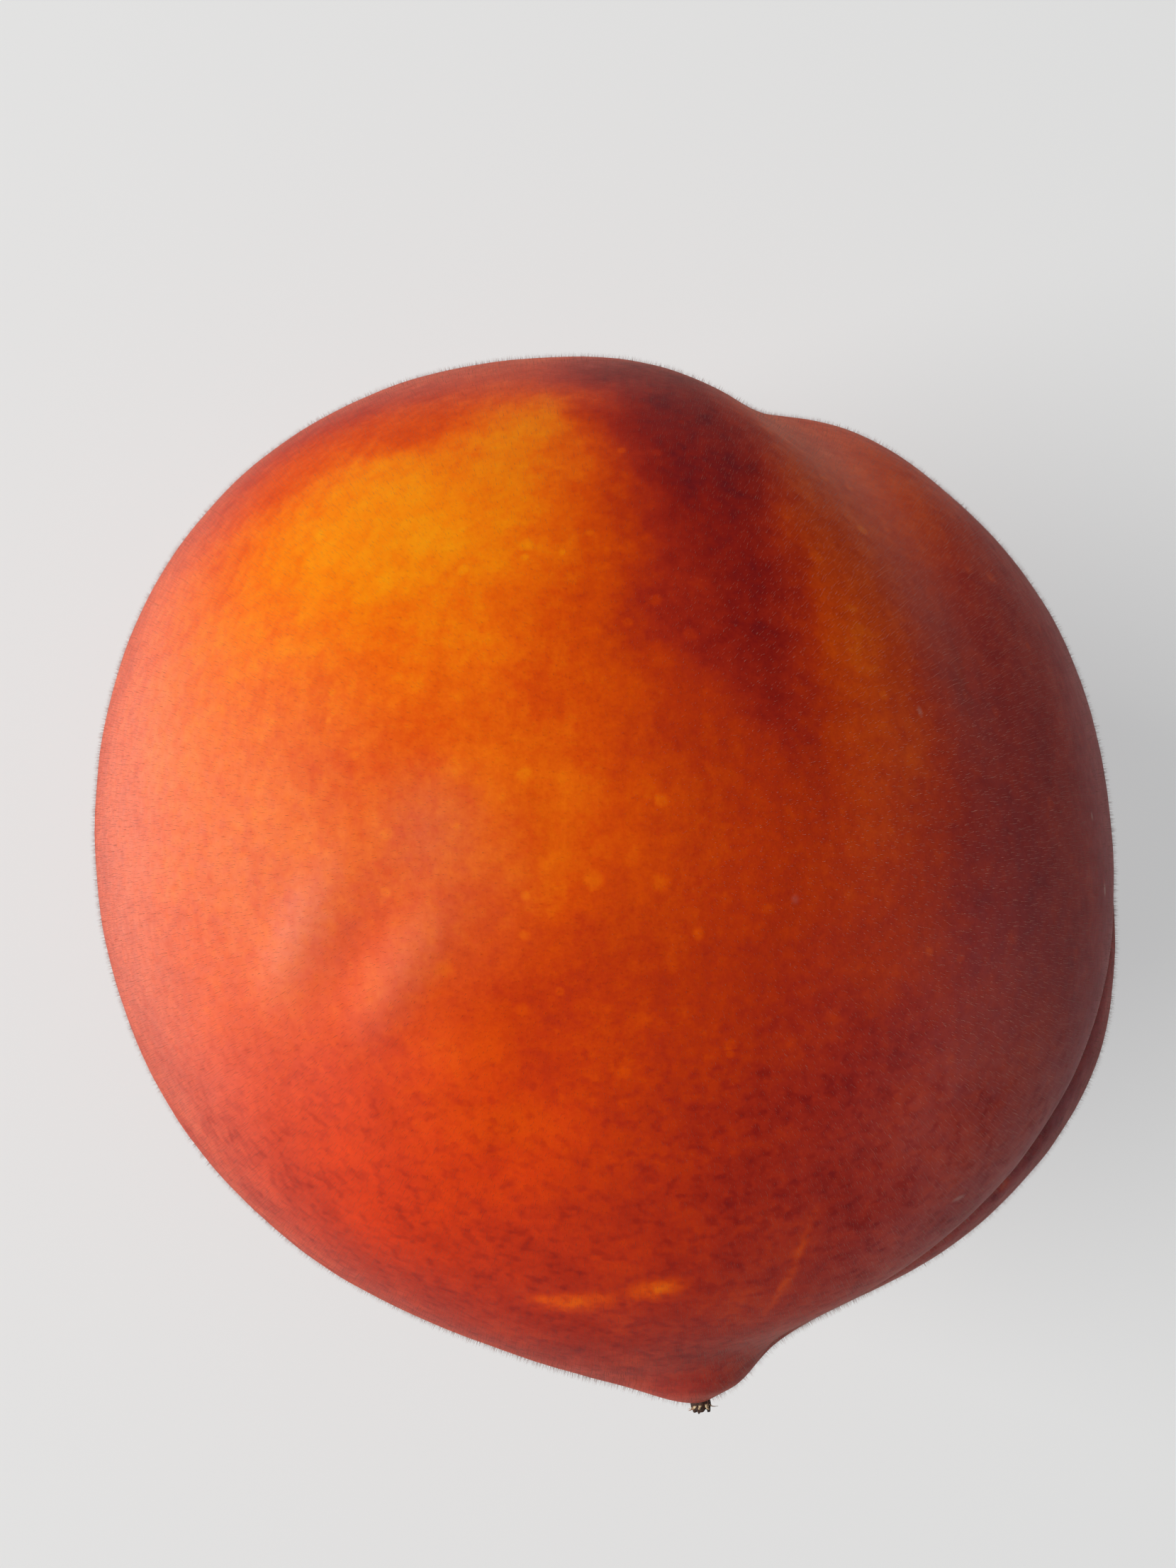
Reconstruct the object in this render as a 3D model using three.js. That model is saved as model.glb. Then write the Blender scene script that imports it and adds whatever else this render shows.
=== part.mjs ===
import * as THREE from 'three';

// A ripe peach lying on its back cheek. Millimetres, +Z up.
// The origin is on the flat spot that the fruit rests on, under its weight.
//
// The fruit is shaped upright first: z from the tip to the stem end, x towards the suture,
// y towards the back cheek. Colatitude counts from the stem end and longitude from the suture,
// both in degrees. It is then bent, laid down and pressed flat underneath.

// Driving dimensions, in millimetres
const body = {
  sutureHalf: 38.6, // axis to the suture side
  cheekHalf: 36.0, // axis to each cheek
  lengthHalf: 35.9, // middle to each end, before the cavity and the beak
  bend: 10.3, // degrees that each end leans towards the suture
};

// Fullness round the whole fruit, as a share of the radius
const girth = [
  { colatitude: 50, reach: 28, rise: 0.05 }, // round shoulders
  { colatitude: 140, reach: 30, rise: -0.05 }, // taper to the tip
];

// Lobes and flats of one side each: middle, reach along and across, and rise as a share of the radius
const lobes = [
  { name: 'back lip of the suture', colatitude: 125, longitude: 24, along: 28, across: 36, rise: 0.115 },
  { name: 'front lip of the suture', colatitude: 125, longitude: -34, along: 28, across: 24, rise: 0.067 },
  { name: 'front lip by the tip', colatitude: 150, longitude: -25, along: 18, across: 28, rise: 0.026 },
  { name: 'dip past the furrow', colatitude: 50, longitude: -30, along: 20, across: 18, rise: -0.009 },
  { name: 'front shoulder', colatitude: 36, longitude: -85, along: 22, across: 45, rise: 0.026 },
  { name: 'back shoulder', colatitude: 34, longitude: 85, along: 24, across: 50, rise: 0.055 },
  { name: 'far shoulder', colatitude: 60, longitude: 180, along: 32, across: 40, rise: 0.067 },
  { name: 'far side, middle', colatitude: 95, longitude: 180, along: 25, across: 40, rise: -0.043 },
  { name: 'front cheek, low', colatitude: 140, longitude: -130, along: 24, across: 38, rise: 0.03 },
  { name: 'back cheek, low', colatitude: 140, longitude: 95, along: 30, across: 50, rise: 0.035 },
  { name: 'back cheek, resting', colatitude: 82, longitude: 102, along: 28, across: 30, rise: 0.012 },
];

const suture = {
  swing: 15, // degrees that the line drifts to the front cheek on its way to the tip
  swingFrom: 60,
  swingTo: 160,
  creaseDepth: 1.3,
  creaseHalf: 1.15,
  valleyDepth: 0.7,
  frontValley: 3.8, // reach of the shallow valley on each side of the crease
  backValley: 5.0,
  endsAt: [158, 174], // colatitudes over which it dies out on the beak
};

const furrow = { depth: 1.6, half: 5.2, longitude: -45, slant: 0.35, middle: 70, endsAt: [45, 92] };
const cavity = { depth: 12.5, radius: 8.2 };
const stalkScar = { rimRadius: 2.1, rimWidth: 0.7, rimRise: 0.5, pitRadius: 1.3, pitDepth: 0.9 };
const beak = { height: 4.2, radius: 6.8, roundness: 1.35, lean: 2.65 };
const style = { radius: 0.95, height: 1.15, dish: 0.55, teeth: 7, toothRise: 0.4, gap: 0.3 };

// How it lies: the tip's end raised, the axis turned, and the suture rolled up, in degrees
const lie = { tipUp: 15.5, turn: 2.3, roll: 17 };
// Where the middle of the upright fruit comes to, so that its weight is over the origin
const middle = new THREE.Vector3(-0.35, -1.1, 36.7);
const flatBlend = 0.6; // softness of the edge of the flat spot

const rings = 66;
const meridians = 76;
const poleCrowding = 0.35; // rings close up towards both ends
const sutureCrowding = 0.75; // meridians close up towards the suture

const degrees = THREE.MathUtils.degToRad;
const hump = (t) => Math.exp(-t * t);
const ease = (value, from, to) => THREE.MathUtils.smoothstep(value, from, to);
const wrap = (angle) => THREE.MathUtils.euclideanModulo(angle + 180, 360) - 180;

// Degrees that the suture lies off longitude 0
function sutureLongitude(colatitude) {
  return -suture.swing * ease(colatitude, suture.swingFrom, suture.swingTo);
}

// Meridians near the suture follow its drift, so that one of them is the crease
function followSuture(colatitude, longitude) {
  const share = ((1 + Math.cos(degrees(longitude))) / 2) ** 2;
  return longitude + sutureLongitude(colatitude) * share;
}

// Depth of the suture and of the shoulder furrow, in millimetres, at a distance from the axis
function grooveDepth(colatitude, longitude, fromAxis) {
  const across = degrees(wrap(longitude - sutureLongitude(colatitude))) * fromAxis;
  const onSutureSide = ease(Math.cos(degrees(longitude)), 0.1, 0.6) * ease(fromAxis, 1, 6);
  const deeper = 0.55 + 0.9 * hump((colatitude - 25) / 32) + 0.45 * hump((colatitude - 135) / 35);
  const dying = 1 - ease(colatitude, ...suture.endsAt);
  const crease = suture.creaseDepth * Math.exp(-((Math.abs(across) / suture.creaseHalf) ** 1.4));
  const reach = across < 0 ? suture.frontValley : suture.backValley;
  const valley = suture.valleyDepth * hump(across / reach);

  const furrowLongitude = furrow.longitude - furrow.slant * (furrow.middle - colatitude);
  const furrowAcross = degrees(wrap(longitude - furrowLongitude)) * fromAxis;
  const furrowFade = (1 - ease(colatitude, ...furrow.endsAt)) * ease(colatitude, 8, 30);
  return onSutureSide * deeper * dying * (crease + valley)
    + furrow.depth * furrowFade * hump(furrowAcross / furrow.half);
}

// Ring and pit that the stalk left at the bottom of the cavity
function scarRise(fromAxis) {
  const rim = stalkScar.rimRise * hump((fromAxis - stalkScar.rimRadius) / stalkScar.rimWidth);
  return rim - stalkScar.pitDepth * hump(fromAxis / stalkScar.pitRadius);
}

// Upright fruit, before it is bent and laid down
function uprightPoint(colatitude, longitude) {
  const sine = Math.sin(degrees(colatitude));
  const cosine = Math.cos(degrees(colatitude));
  const point = new THREE.Vector3(
    body.sutureHalf * sine * Math.cos(degrees(longitude)),
    body.cheekHalf * sine * Math.sin(degrees(longitude)),
    body.lengthHalf * cosine,
  );
  let fullness = 1;
  for (const { colatitude: at, reach, rise } of girth) {
    fullness += rise * hump((colatitude - at) / reach);
  }
  for (const lobe of lobes) {
    const along = (colatitude - lobe.colatitude) / lobe.along;
    const across = (wrap(longitude - lobe.longitude) * sine) / lobe.across;
    fullness *= 1 + lobe.rise * hump(along) * hump(across);
  }
  point.multiplyScalar(fullness);
  const depth = grooveDepth(colatitude, longitude, Math.hypot(point.x, point.y));
  point.multiplyScalar(1 - depth / point.length());

  const fromAxis = Math.hypot(point.x, point.y);
  const stemShare = ease(cosine, -0.2, 0.3);
  const beakShare = (1 - stemShare) * Math.exp(-((fromAxis / beak.radius) ** beak.roundness));
  point.z -= stemShare * (cavity.depth * hump(fromAxis / cavity.radius) - scarRise(fromAxis));
  point.z -= beakShare * beak.height;
  point.x += beakShare * beak.lean;
  return point;
}

// Directions of the upright fruit's x, y and z once it lies on its cheek
const axisZ = new THREE.Vector3(0, 1, 0)
  .applyAxisAngle(new THREE.Vector3(1, 0, 0), degrees(-lie.tipUp))
  .applyAxisAngle(new THREE.Vector3(0, 0, 1), degrees(-lie.turn));
const level = new THREE.Vector3(1, 0, 0);
level.addScaledVector(axisZ, -level.dot(axisZ)).normalize();
const axisX = level.clone().applyAxisAngle(axisZ, degrees(-lie.roll));
const axisY = new THREE.Vector3().crossVectors(axisZ, axisX);
const laidDown = new THREE.Matrix4().makeBasis(axisX, axisY, axisZ).setPosition(middle);

// Bends the upright fruit towards the suture and lays it down
function laidPoint(colatitude, longitude) {
  const lean = degrees(body.bend) * Math.cos(degrees(colatitude));
  return uprightPoint(colatitude, longitude)
    .applyAxisAngle(new THREE.Vector3(0, 1, 0), lean)
    .applyMatrix4(laidDown);
}

// Presses what is under the surface up to it, with a soft edge
function pressFlat(point) {
  if (point.z <= -flatBlend) {
    point.z = 0;
  } else if (point.z < flatBlend) {
    point.z = (point.z + flatBlend) ** 2 / (4 * flatBlend);
  }
  return point;
}

function makeFruit() {
  const geometry = new THREE.SphereGeometry(1, meridians, rings);
  const { position, uv } = geometry.attributes;
  for (let i = 0; i < position.count; i += 1) {
    const down = THREE.MathUtils.clamp(1 - uv.getY(i), 0, 1);
    const round = uv.getX(i) % 1;
    const colatitude = 180 * down - (180 / Math.PI) * poleCrowding * Math.sin(2 * Math.PI * down);
    const even = 360 * round - (180 / Math.PI) * sutureCrowding * Math.sin(2 * Math.PI * round);
    const longitude = followSuture(colatitude, even);
    const point = pressFlat(laidPoint(colatitude, longitude));
    position.setXYZ(i, point.x, point.y, point.z);
  }
  const skin = new THREE.MeshStandardMaterial({ color: 0xc4501e, roughness: 0.6, metalness: 0 });
  const mesh = new THREE.Mesh(geometry, skin);
  mesh.name = 'fruit';
  return mesh;
}

// Dry cup left by the style, with a torn edge, its base at the mesh's origin and its mouth along +Y
function makeDriedStyle() {
  const { radius, height, dish } = style;
  const profile = [
    [0, 0],
    [0.8 * radius, 0],
    [radius, 0.3 * height],
    [0.9 * radius, 0.7 * height],
    [0.95 * radius, height],
    [0.7 * radius, height - 0.1],
    [0.5 * radius, height - 0.7 * dish],
    [0, height - dish],
  ].map(([x, y]) => new THREE.Vector2(x, y));
  const mouthPoints = [4, 5];
  const segments = 2 * style.teeth;
  const geometry = new THREE.LatheGeometry(profile, segments);
  const { position } = geometry.attributes;
  for (let i = 0; i < position.count; i += 1) {
    const onMouth = mouthPoints.includes(i % profile.length);
    const segment = Math.floor(i / profile.length) % segments;
    if (onMouth && segment % 2 === 1) {
      const rise = style.toothRise * (1 + 0.5 * Math.sin(2.3 * segment));
      position.setY(i, position.getY(i) + rise);
    }
  }
  const husk = new THREE.MeshStandardMaterial({ color: 0x4a3322, roughness: 0.9, metalness: 0 });
  const mesh = new THREE.Mesh(geometry, husk);
  mesh.name = 'dried_style';

  const tip = laidPoint(180, 0);
  const outward = new THREE.Vector3(0, 0, -1)
    .applyAxisAngle(new THREE.Vector3(0, 1, 0), degrees(-body.bend))
    .transformDirection(laidDown);
  mesh.position.copy(tip).addScaledVector(outward, style.gap);
  mesh.quaternion.setFromUnitVectors(new THREE.Vector3(0, 1, 0), outward);
  return mesh;
}

const peach = new THREE.Group();
peach.add(makeFruit(), makeDriedStyle());

export default peach;
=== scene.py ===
import math
import random

import bmesh
import bpy
from mathutils import Matrix, Vector


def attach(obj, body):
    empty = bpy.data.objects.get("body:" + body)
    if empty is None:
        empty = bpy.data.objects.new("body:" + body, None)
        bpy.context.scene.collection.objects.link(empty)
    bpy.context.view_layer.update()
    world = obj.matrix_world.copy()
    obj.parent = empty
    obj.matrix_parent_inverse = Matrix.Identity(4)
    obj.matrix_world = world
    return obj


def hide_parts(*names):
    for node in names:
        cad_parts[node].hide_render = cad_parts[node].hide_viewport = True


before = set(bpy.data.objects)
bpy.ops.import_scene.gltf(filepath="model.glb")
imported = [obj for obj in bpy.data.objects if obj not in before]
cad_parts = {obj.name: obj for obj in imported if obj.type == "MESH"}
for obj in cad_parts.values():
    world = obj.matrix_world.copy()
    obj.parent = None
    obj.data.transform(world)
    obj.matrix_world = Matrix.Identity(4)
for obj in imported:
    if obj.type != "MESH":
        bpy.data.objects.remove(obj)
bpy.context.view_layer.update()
mm = 0.001


# Camera: straight above the lying fruit

cameraView = {
    "place": (-0.41 * mm, 5.05 * mm, 132.7 * mm),
    "lens": 27,
    "sensorHeight": 36,
    "nearest": 5 * mm,
}


def makeCamera():
    camera = bpy.data.objects.new("camera", bpy.data.cameras.new("camera"))
    camera.location = cameraView["place"]
    camera.data.sensor_fit = "VERTICAL"
    camera.data.sensor_height = cameraView["sensorHeight"]
    camera.data.lens = cameraView["lens"]
    camera.data.clip_start = cameraView["nearest"]
    bpy.context.scene.collection.objects.link(camera)
    bpy.context.scene.camera = camera


makeCamera()
print("camera ready")


# Sums and nodes in node trees

class Number:  # a value in a node tree, so that a rule can be written as a sum
    def __init__(self, tree, socket):
        self.tree = tree
        self.socket = socket

    def calc(self, operation, *others):
        made = self.tree.nodes.new("ShaderNodeMath")
        made.operation = operation
        for socket, value in zip(made.inputs, (self, *others)):
            feed(self.tree, socket, value)
        return Number(self.tree, made.outputs[0])

    def __add__(self, other):
        return self.calc("ADD", other)

    def __sub__(self, other):
        return self.calc("SUBTRACT", other)

    def __rsub__(self, other):
        return self.calc("MULTIPLY_ADD", -1, other)

    def __mul__(self, other):
        return self.calc("MULTIPLY", other)

    def __truediv__(self, other):
        return self.calc("DIVIDE", other)

    def __rtruediv__(self, other):
        return self ** -1 * other

    def __pow__(self, other):
        return self.calc("POWER", other)

    def __neg__(self):
        return self.calc("MULTIPLY", -1)

    __radd__ = __add__
    __rmul__ = __mul__

    def sine(self):  # of degrees
        return self.calc("RADIANS").calc("SINE")

    def cosine(self):
        return self.calc("RADIANS").calc("COSINE")

    def size(self):
        return self.calc("ABSOLUTE")


def feed(tree, socket, value):
    if isinstance(value, Number):
        tree.links.new(value.socket, socket)
    elif isinstance(value, bpy.types.NodeSocket):
        tree.links.new(value, socket)
    else:
        socket.default_value = value


def node(tree, kind, settings=None, **inputs):
    made = tree.nodes.new(kind)
    for name, value in (settings or {}).items():
        setattr(made, name, value)
    for name, value in inputs.items():
        feed(tree, made.inputs[name], value)
    return made


def hump(value):  # 1 at zero, falling smoothly to nothing
    return (-(value * value)).calc("EXPONENT")


def ease(value, low, high, start=0.0, end=1.0):  # smooth step from start to end
    step = node(value.tree, "ShaderNodeMapRange", {"interpolation_type": "SMOOTHSTEP"}, Value=value,
                **{"From Min": low, "From Max": high, "To Min": start, "To Max": end})
    return Number(value.tree, step.outputs["Result"])


def wrapped(angle):  # brings degrees to -180..180
    return angle.calc("WRAP", 180, -180)


def parts(tree, vector):  # the three Numbers of a vector
    split = node(tree, "ShaderNodeSeparateXYZ", Vector=vector)
    return [Number(tree, socket) for socket in split.outputs]


def joined(tree, x, y, z):
    return node(tree, "ShaderNodeCombineXYZ", X=x, Y=y, Z=z).outputs[0]


def noise(tree, vector, scale, detail=2.0, roughness=0.5, output="Fac"):
    made = node(tree, "ShaderNodeTexNoise", Vector=vector, Scale=scale, Detail=detail, Roughness=roughness)
    return Number(tree, made.outputs["Fac"]) if output == "Fac" else made.outputs["Color"]


def added(tree, first, second, share):  # first + (second - 0.5) * share, as vectors
    middle = node(tree, "ShaderNodeVectorMath", {"operation": "SUBTRACT"})
    feed(tree, middle.inputs[0], second)
    feed(tree, middle.inputs[1], (0.5, 0.5, 0.5))
    scaled = node(tree, "ShaderNodeVectorMath", {"operation": "SCALE"}, Vector=middle.outputs[0], Scale=share)
    total = node(tree, "ShaderNodeVectorMath", {"operation": "ADD"})
    feed(tree, total.inputs[0], first)
    feed(tree, total.inputs[1], scaled.outputs[0])
    return total.outputs[0]


def mixed(tree, share, first, second, kind="FLOAT"):  # from first to second as share goes from 0 to 1
    mix = node(tree, "ShaderNodeMix", {"data_type": kind}, Factor=share)
    start, result = {"FLOAT": (2, 0), "RGBA": (6, 2)}[kind]  # where the sockets of this kind are
    feed(tree, mix.inputs[start], first)
    feed(tree, mix.inputs[start + 1], second)
    return Number(tree, mix.outputs[result])


def tinted(tree, share, colour, tint):  # a colour partly covered by another
    return mixed(tree, share, colour, (*tint, 1), "RGBA")


def ramp(tree, value, stops):  # stops: value, then its colour
    made = node(tree, "ShaderNodeValToRGB", Fac=value)
    elements = made.color_ramp.elements
    for number, (at, colour) in enumerate(stops):
        stop = elements[number] if number < 2 else elements.new(at)
        stop.position = at
        stop.color = (*colour, 1)
    return made.outputs["Color"]


def newTree(name, inputs, output="NodeSocketGeometry"):
    kinds = {int: "NodeSocketInt", tuple: "NodeSocketVector", str: "NodeSocketGeometry"}
    tree = bpy.data.node_groups.new(name, "GeometryNodeTree")
    tree.interface.new_socket("Result", in_out="OUTPUT", socket_type=output)
    for label, value in inputs.items():
        kind = kinds.get(type(value), "NodeSocketFloat")
        socket = tree.interface.new_socket(label, in_out="INPUT", socket_type=kind)
        if kind != "NodeSocketGeometry":
            socket.default_value = value
    given = tree.nodes.new("NodeGroupInput")
    return tree, {label: Number(tree, given.outputs[label]) for label in inputs}


def finishTree(tree, result):
    tree.links.new(result, tree.nodes.new("NodeGroupOutput").inputs[0])


def finishWithMaterial(tree, geometry, finish):
    whole = node(tree, "GeometryNodeRealizeInstances", Geometry=geometry)
    painted = node(tree, "GeometryNodeSetMaterial", Geometry=whole.outputs[0], Material=finish)
    finishTree(tree, painted.outputs[0])


def withModifier(piece, tree, values):  # inputs are set by identifier, before the piece is first evaluated
    modifier = piece.modifiers.new(tree.name, "NODES")
    modifier.node_group = tree
    for item in tree.interface.items_tree:
        if item.in_out == "INPUT" and item.name in values:
            modifier[item.identifier] = values[item.name]


def frozen(piece):  # the modifier's result becomes the piece's own mesh
    graph = bpy.context.evaluated_depsgraph_get()
    shaped = piece.evaluated_get(graph)
    mesh = bpy.data.meshes.new_from_object(shaped, preserve_all_data_layers=True, depsgraph=graph)
    piece.modifiers.clear()
    piece.data = mesh
    mesh.name = piece.name
    return piece


def newPiece(name, mesh=None):
    piece = bpy.data.objects.new(name, mesh or bpy.data.meshes.new(name))
    bpy.context.scene.collection.objects.link(piece)
    return piece


def newMaterial(name, look):  # look: what is the same all over, under the names of the shader's sockets
    material = bpy.data.materials.new(name)
    material.use_nodes = True
    shader = material.node_tree.nodes["Principled BSDF"]
    for socket, value in look.items():
        shader.inputs[socket].default_value = value
    return material, material.node_tree, shader


# Skin: its shape is one rule in colatitude, from the stem end, and longitude, from the suture.
# Lengths are in millimetres and angles in degrees.

skinShape = {
    "suture half": 38.6,
    "cheek half": 36.0,
    "length half": 35.9,
    "bend": 10.3,  # each end leans towards the suture
    "suture swing": 15.0,  # drift of the suture to the front cheek on its way to the tip
    "least depth": 0.55,  # share of the suture's depth where it is shallowest
    "crease depth": 1.3,
    "crease half": 1.15,
    "crease sharpness": 1.4,
    "valley depth": 0.7,  # shallow valley beside the crease
    "front valley": 3.8,
    "back valley": 5.0,
    "furrow depth": 1.6,
    "furrow half": 5.2,
    "furrow colatitude": 70.0,
    "furrow longitude": -45.0,
    "furrow slant": 0.35,  # its longitude changes by this for each degree towards the tip
    "cavity depth": 12.5,
    "cavity radius": 8.2,
    "scar radius": 2.1,
    "scar rim": 0.5,
    "scar rim half": 0.7,
    "scar pit": 0.9,
    "scar pit half": 1.3,
    "beak height": 4.2,
    "beak radius": 6.8,
    "beak sharpness": 1.35,
    "beak lean": 2.65,
    "unevenness": 0.10,
    "unevenness size": 6.0,  # from one rise to the next
    "flat blend": 0.6,  # softness of the edge of the flat spot it rests on
    "closer rings": 0.35,  # how much rings close up towards both ends
    "closer meridians": 0.75,  # and meridians towards the suture
    "round": 416,  # meridians
    "along": 236,  # rings
}

# Fullness round the whole fruit: colatitude, reach, rise as a share of the radius
skinGirth = {"shoulders": (50, 28, 0.05), "taper": (140, 30, -0.05)}

# Where the suture is deeper: colatitude, reach, more depth
sutureDepths = {"by the stem": (25, 32, 0.9), "by the tip": (135, 35, 0.45)}

# Where forms come in and fade out
skinFades = {
    # colatitudes
    "suture swing": (60, 160),
    "suture end": (158, 174),
    "furrow start": (8, 30),
    "furrow end": (45, 92),
    # cosines of the longitude, then of the colatitude
    "suture side": (0.1, 0.6),
    "stem side": (-0.2, 0.3),
    # millimetres from the axis, then above the floor
    "suture by the axis": (1, 6),
    "unevenness by the floor": (1, 6),
}

# Lobes, flats and dents: colatitude, longitude, reach along, reach across, turn, rise
skinLobes = {
    "back lip of the suture": (125, 24, 28, 36, 0, 0.115),
    "front lip of the suture": (125, -34, 28, 24, 0, 0.067),
    "front lip by the tip": (150, -25, 18, 28, 0, 0.026),
    "dip past the furrow": (50, -30, 20, 18, 0, -0.009),
    "front shoulder": (36, -85, 22, 45, 0, 0.026),
    "back shoulder": (34, 85, 24, 50, 0, 0.055),
    "far shoulder": (60, 180, 32, 40, 0, 0.067),
    "far side middle": (95, 180, 25, 40, 0, -0.043),
    "front cheek low": (140, -130, 24, 38, 0, 0.03),
    "back cheek low": (140, 95, 30, 50, 0, 0.035),
    "back cheek resting": (82, 102, 28, 30, 0, 0.012),
    "first ripple": (107.5, -100.6, 1.9, 7.0, 45, 0.009),
    "dent between ripples": (109.8, -95.4, 1.5, 6.5, 45, -0.006),
    "second ripple": (112.4, -91.8, 1.9, 7.0, 45, 0.009),
    "full flank of the beak": (172.5, -36, 4.5, 6, 0, 0.022),
    "nick by the furrow": (81.5, -40.6, 2.6, 0.45, 0, -0.006),
}

# How it lies: the tip's end raised, the axis turned, the suture rolled up, and where its middle comes to
lying = {"tip up": 15.5, "turn": 2.3, "roll": 17, "middle": (-0.35, -1.1, 36.7)}


def lyingTurn():
    along = Vector((0, 1, 0))
    along.rotate(Matrix.Rotation(math.radians(-lying["tip up"]), 3, "X"))
    along.rotate(Matrix.Rotation(math.radians(-lying["turn"]), 3, "Z"))
    suture = Vector((1, 0, 0))
    suture = (suture - along * suture.dot(along)).normalized()
    suture.rotate(Matrix.Rotation(math.radians(-lying["roll"]), 3, along))
    return Matrix((suture, along.cross(suture), along)).transposed()


def makeLobeTree():
    tree, given = newTree("lobe", {
        "colatitude": 90.0, "longitude": 0.0, "sine": 1.0,
        "lobe colatitude": 90.0, "lobe longitude": 0.0,
        "along": 20.0, "across": 20.0, "turn": 0.0, "rise": 0.0,
    }, output="NodeSocketFloat")
    down = given["colatitude"] - given["lobe colatitude"]
    aside = wrapped(given["longitude"] - given["lobe longitude"]) * given["sine"]
    turn = given["turn"]
    along = (down * turn.cosine() + aside * turn.sine()) / given["along"]
    across = (aside * turn.cosine() - down * turn.sine()) / given["across"]
    finishTree(tree, (1 + given["rise"] * hump(along) * hump(across)).socket)
    return tree


def makeSkinTree(finish):
    tree, size = newTree("peach skin", skinShape)
    ball = node(tree, "GeometryNodeMeshUVSphere", Segments=size["round"], Rings=size["along"], Radius=1.0)
    place = node(tree, "GeometryNodeInputPosition").outputs[0]  # as it is at the step that reads it
    placeX, placeY, placeZ = parts(tree, place)

    # Rings close up towards both ends, and meridians towards the suture, which one of them follows
    down = placeZ.calc("ARCCOSINE").calc("DEGREES")
    aside = placeY.calc("ARCTAN2", placeX).calc("DEGREES")
    colatitude = down - (down * 2).sine() * size["closer rings"] * 180 / math.pi
    even = aside - aside.sine() * size["closer meridians"] * 180 / math.pi
    sutureLongitude = -size["suture swing"] * ease(colatitude, *skinFades["suture swing"])
    share = (even.cosine() + 1) / 2
    longitude = even + sutureLongitude * share * share
    sine, cosine = colatitude.sine(), colatitude.cosine()

    fullness = 1
    for at, reach, rise in skinGirth.values():
        fullness = rise * hump((colatitude - at) / reach) + fullness
    lobeTree = makeLobeTree()
    for at, beside, along, across, turn, rise in skinLobes.values():
        lobe = node(tree, "GeometryNodeGroup", {"node_tree": lobeTree}, colatitude=colatitude,
                    longitude=longitude, sine=sine, along=along, across=across, turn=turn, rise=rise,
                    **{"lobe colatitude": at, "lobe longitude": beside})
        fullness = fullness * Number(tree, lobe.outputs[0])

    # Suture crease with its valley, and the furrow on the shoulder
    sutureSize = size["suture half"] * longitude.cosine()
    cheekSize = size["cheek half"] * longitude.sine()
    flat = (sutureSize ** 2 + cheekSize ** 2).calc("SQRT") * sine * fullness  # distance from the axis
    lengthways = size["length half"] * cosine * fullness
    across = wrapped(longitude - sutureLongitude).calc("RADIANS") * flat
    sutureSide = (ease(longitude.cosine(), *skinFades["suture side"])
                  * ease(flat, *skinFades["suture by the axis"]))
    deeper = size["least depth"]
    for at, reach, more in sutureDepths.values():
        deeper = deeper + more * hump((colatitude - at) / reach)
    creaseShape = -((across.size() / size["crease half"]) ** size["crease sharpness"])
    crease = size["crease depth"] * creaseShape.calc("EXPONENT")
    front = across.calc("LESS_THAN", 0)
    valley = size["valley depth"] * (front * hump(across / size["front valley"])
                                     + (1 - front) * hump(across / size["back valley"]))
    slant = size["furrow slant"] * (size["furrow colatitude"] - colatitude)
    furrowAcross = wrapped(longitude - (size["furrow longitude"] - slant)).calc("RADIANS") * flat
    furrow = size["furrow depth"] * hump(furrowAcross / size["furrow half"])
    furrow = furrow * ease(colatitude, *skinFades["furrow end"], 1, 0)
    furrow = furrow * ease(colatitude, *skinFades["furrow start"])
    suture = sutureSide * deeper * ease(colatitude, *skinFades["suture end"], 1, 0) * (crease + valley)
    depth = suture + furrow
    shrink = fullness * (1 - depth / (flat * flat + lengthways * lengthways).calc("SQRT"))
    flat = flat / fullness * shrink

    # Stem cavity with the stalk's scar, and the beak
    stemShare = ease(cosine, *skinFades["stem side"])
    scar = (size["scar rim"] * hump((flat - size["scar radius"]) / size["scar rim half"])
            - size["scar pit"] * hump(flat / size["scar pit half"]))
    sink = stemShare * (size["cavity depth"] * hump(flat / size["cavity radius"]) - scar)
    beakShape = -((flat / size["beak radius"]) ** size["beak sharpness"])
    beak = (1 - stemShare) * beakShape.calc("EXPONENT")
    x = sutureSize * sine * shrink + beak * size["beak lean"]
    y = cheekSize * sine * shrink
    z = size["length half"] * cosine * shrink - sink - beak * size["beak height"]

    # Bent towards the suture, then laid down
    lean = size["bend"] * cosine
    bent = joined(tree, x * lean.cosine() + z * lean.sine(), y, z * lean.cosine() - x * lean.sine())
    grown = joined(tree, sine * longitude.cosine(), sine * longitude.sine(), cosine)
    kept = node(tree, "GeometryNodeStoreNamedAttribute", {"data_type": "FLOAT_VECTOR", "domain": "POINT"},
                Geometry=ball.outputs["Mesh"], Name="grown", Value=grown)
    kept = node(tree, "GeometryNodeStoreNamedAttribute", {"data_type": "FLOAT2", "domain": "CORNER"},
                Geometry=kept.outputs[0], Name="OFBake", Value=ball.outputs["UV Map"])
    shaped = node(tree, "GeometryNodeSetPosition", Geometry=kept.outputs[0], Position=bent)
    laid = node(tree, "GeometryNodeTransform", Geometry=shaped.outputs[0], Translation=lying["middle"],
                Rotation=lyingTurn().to_euler())

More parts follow.
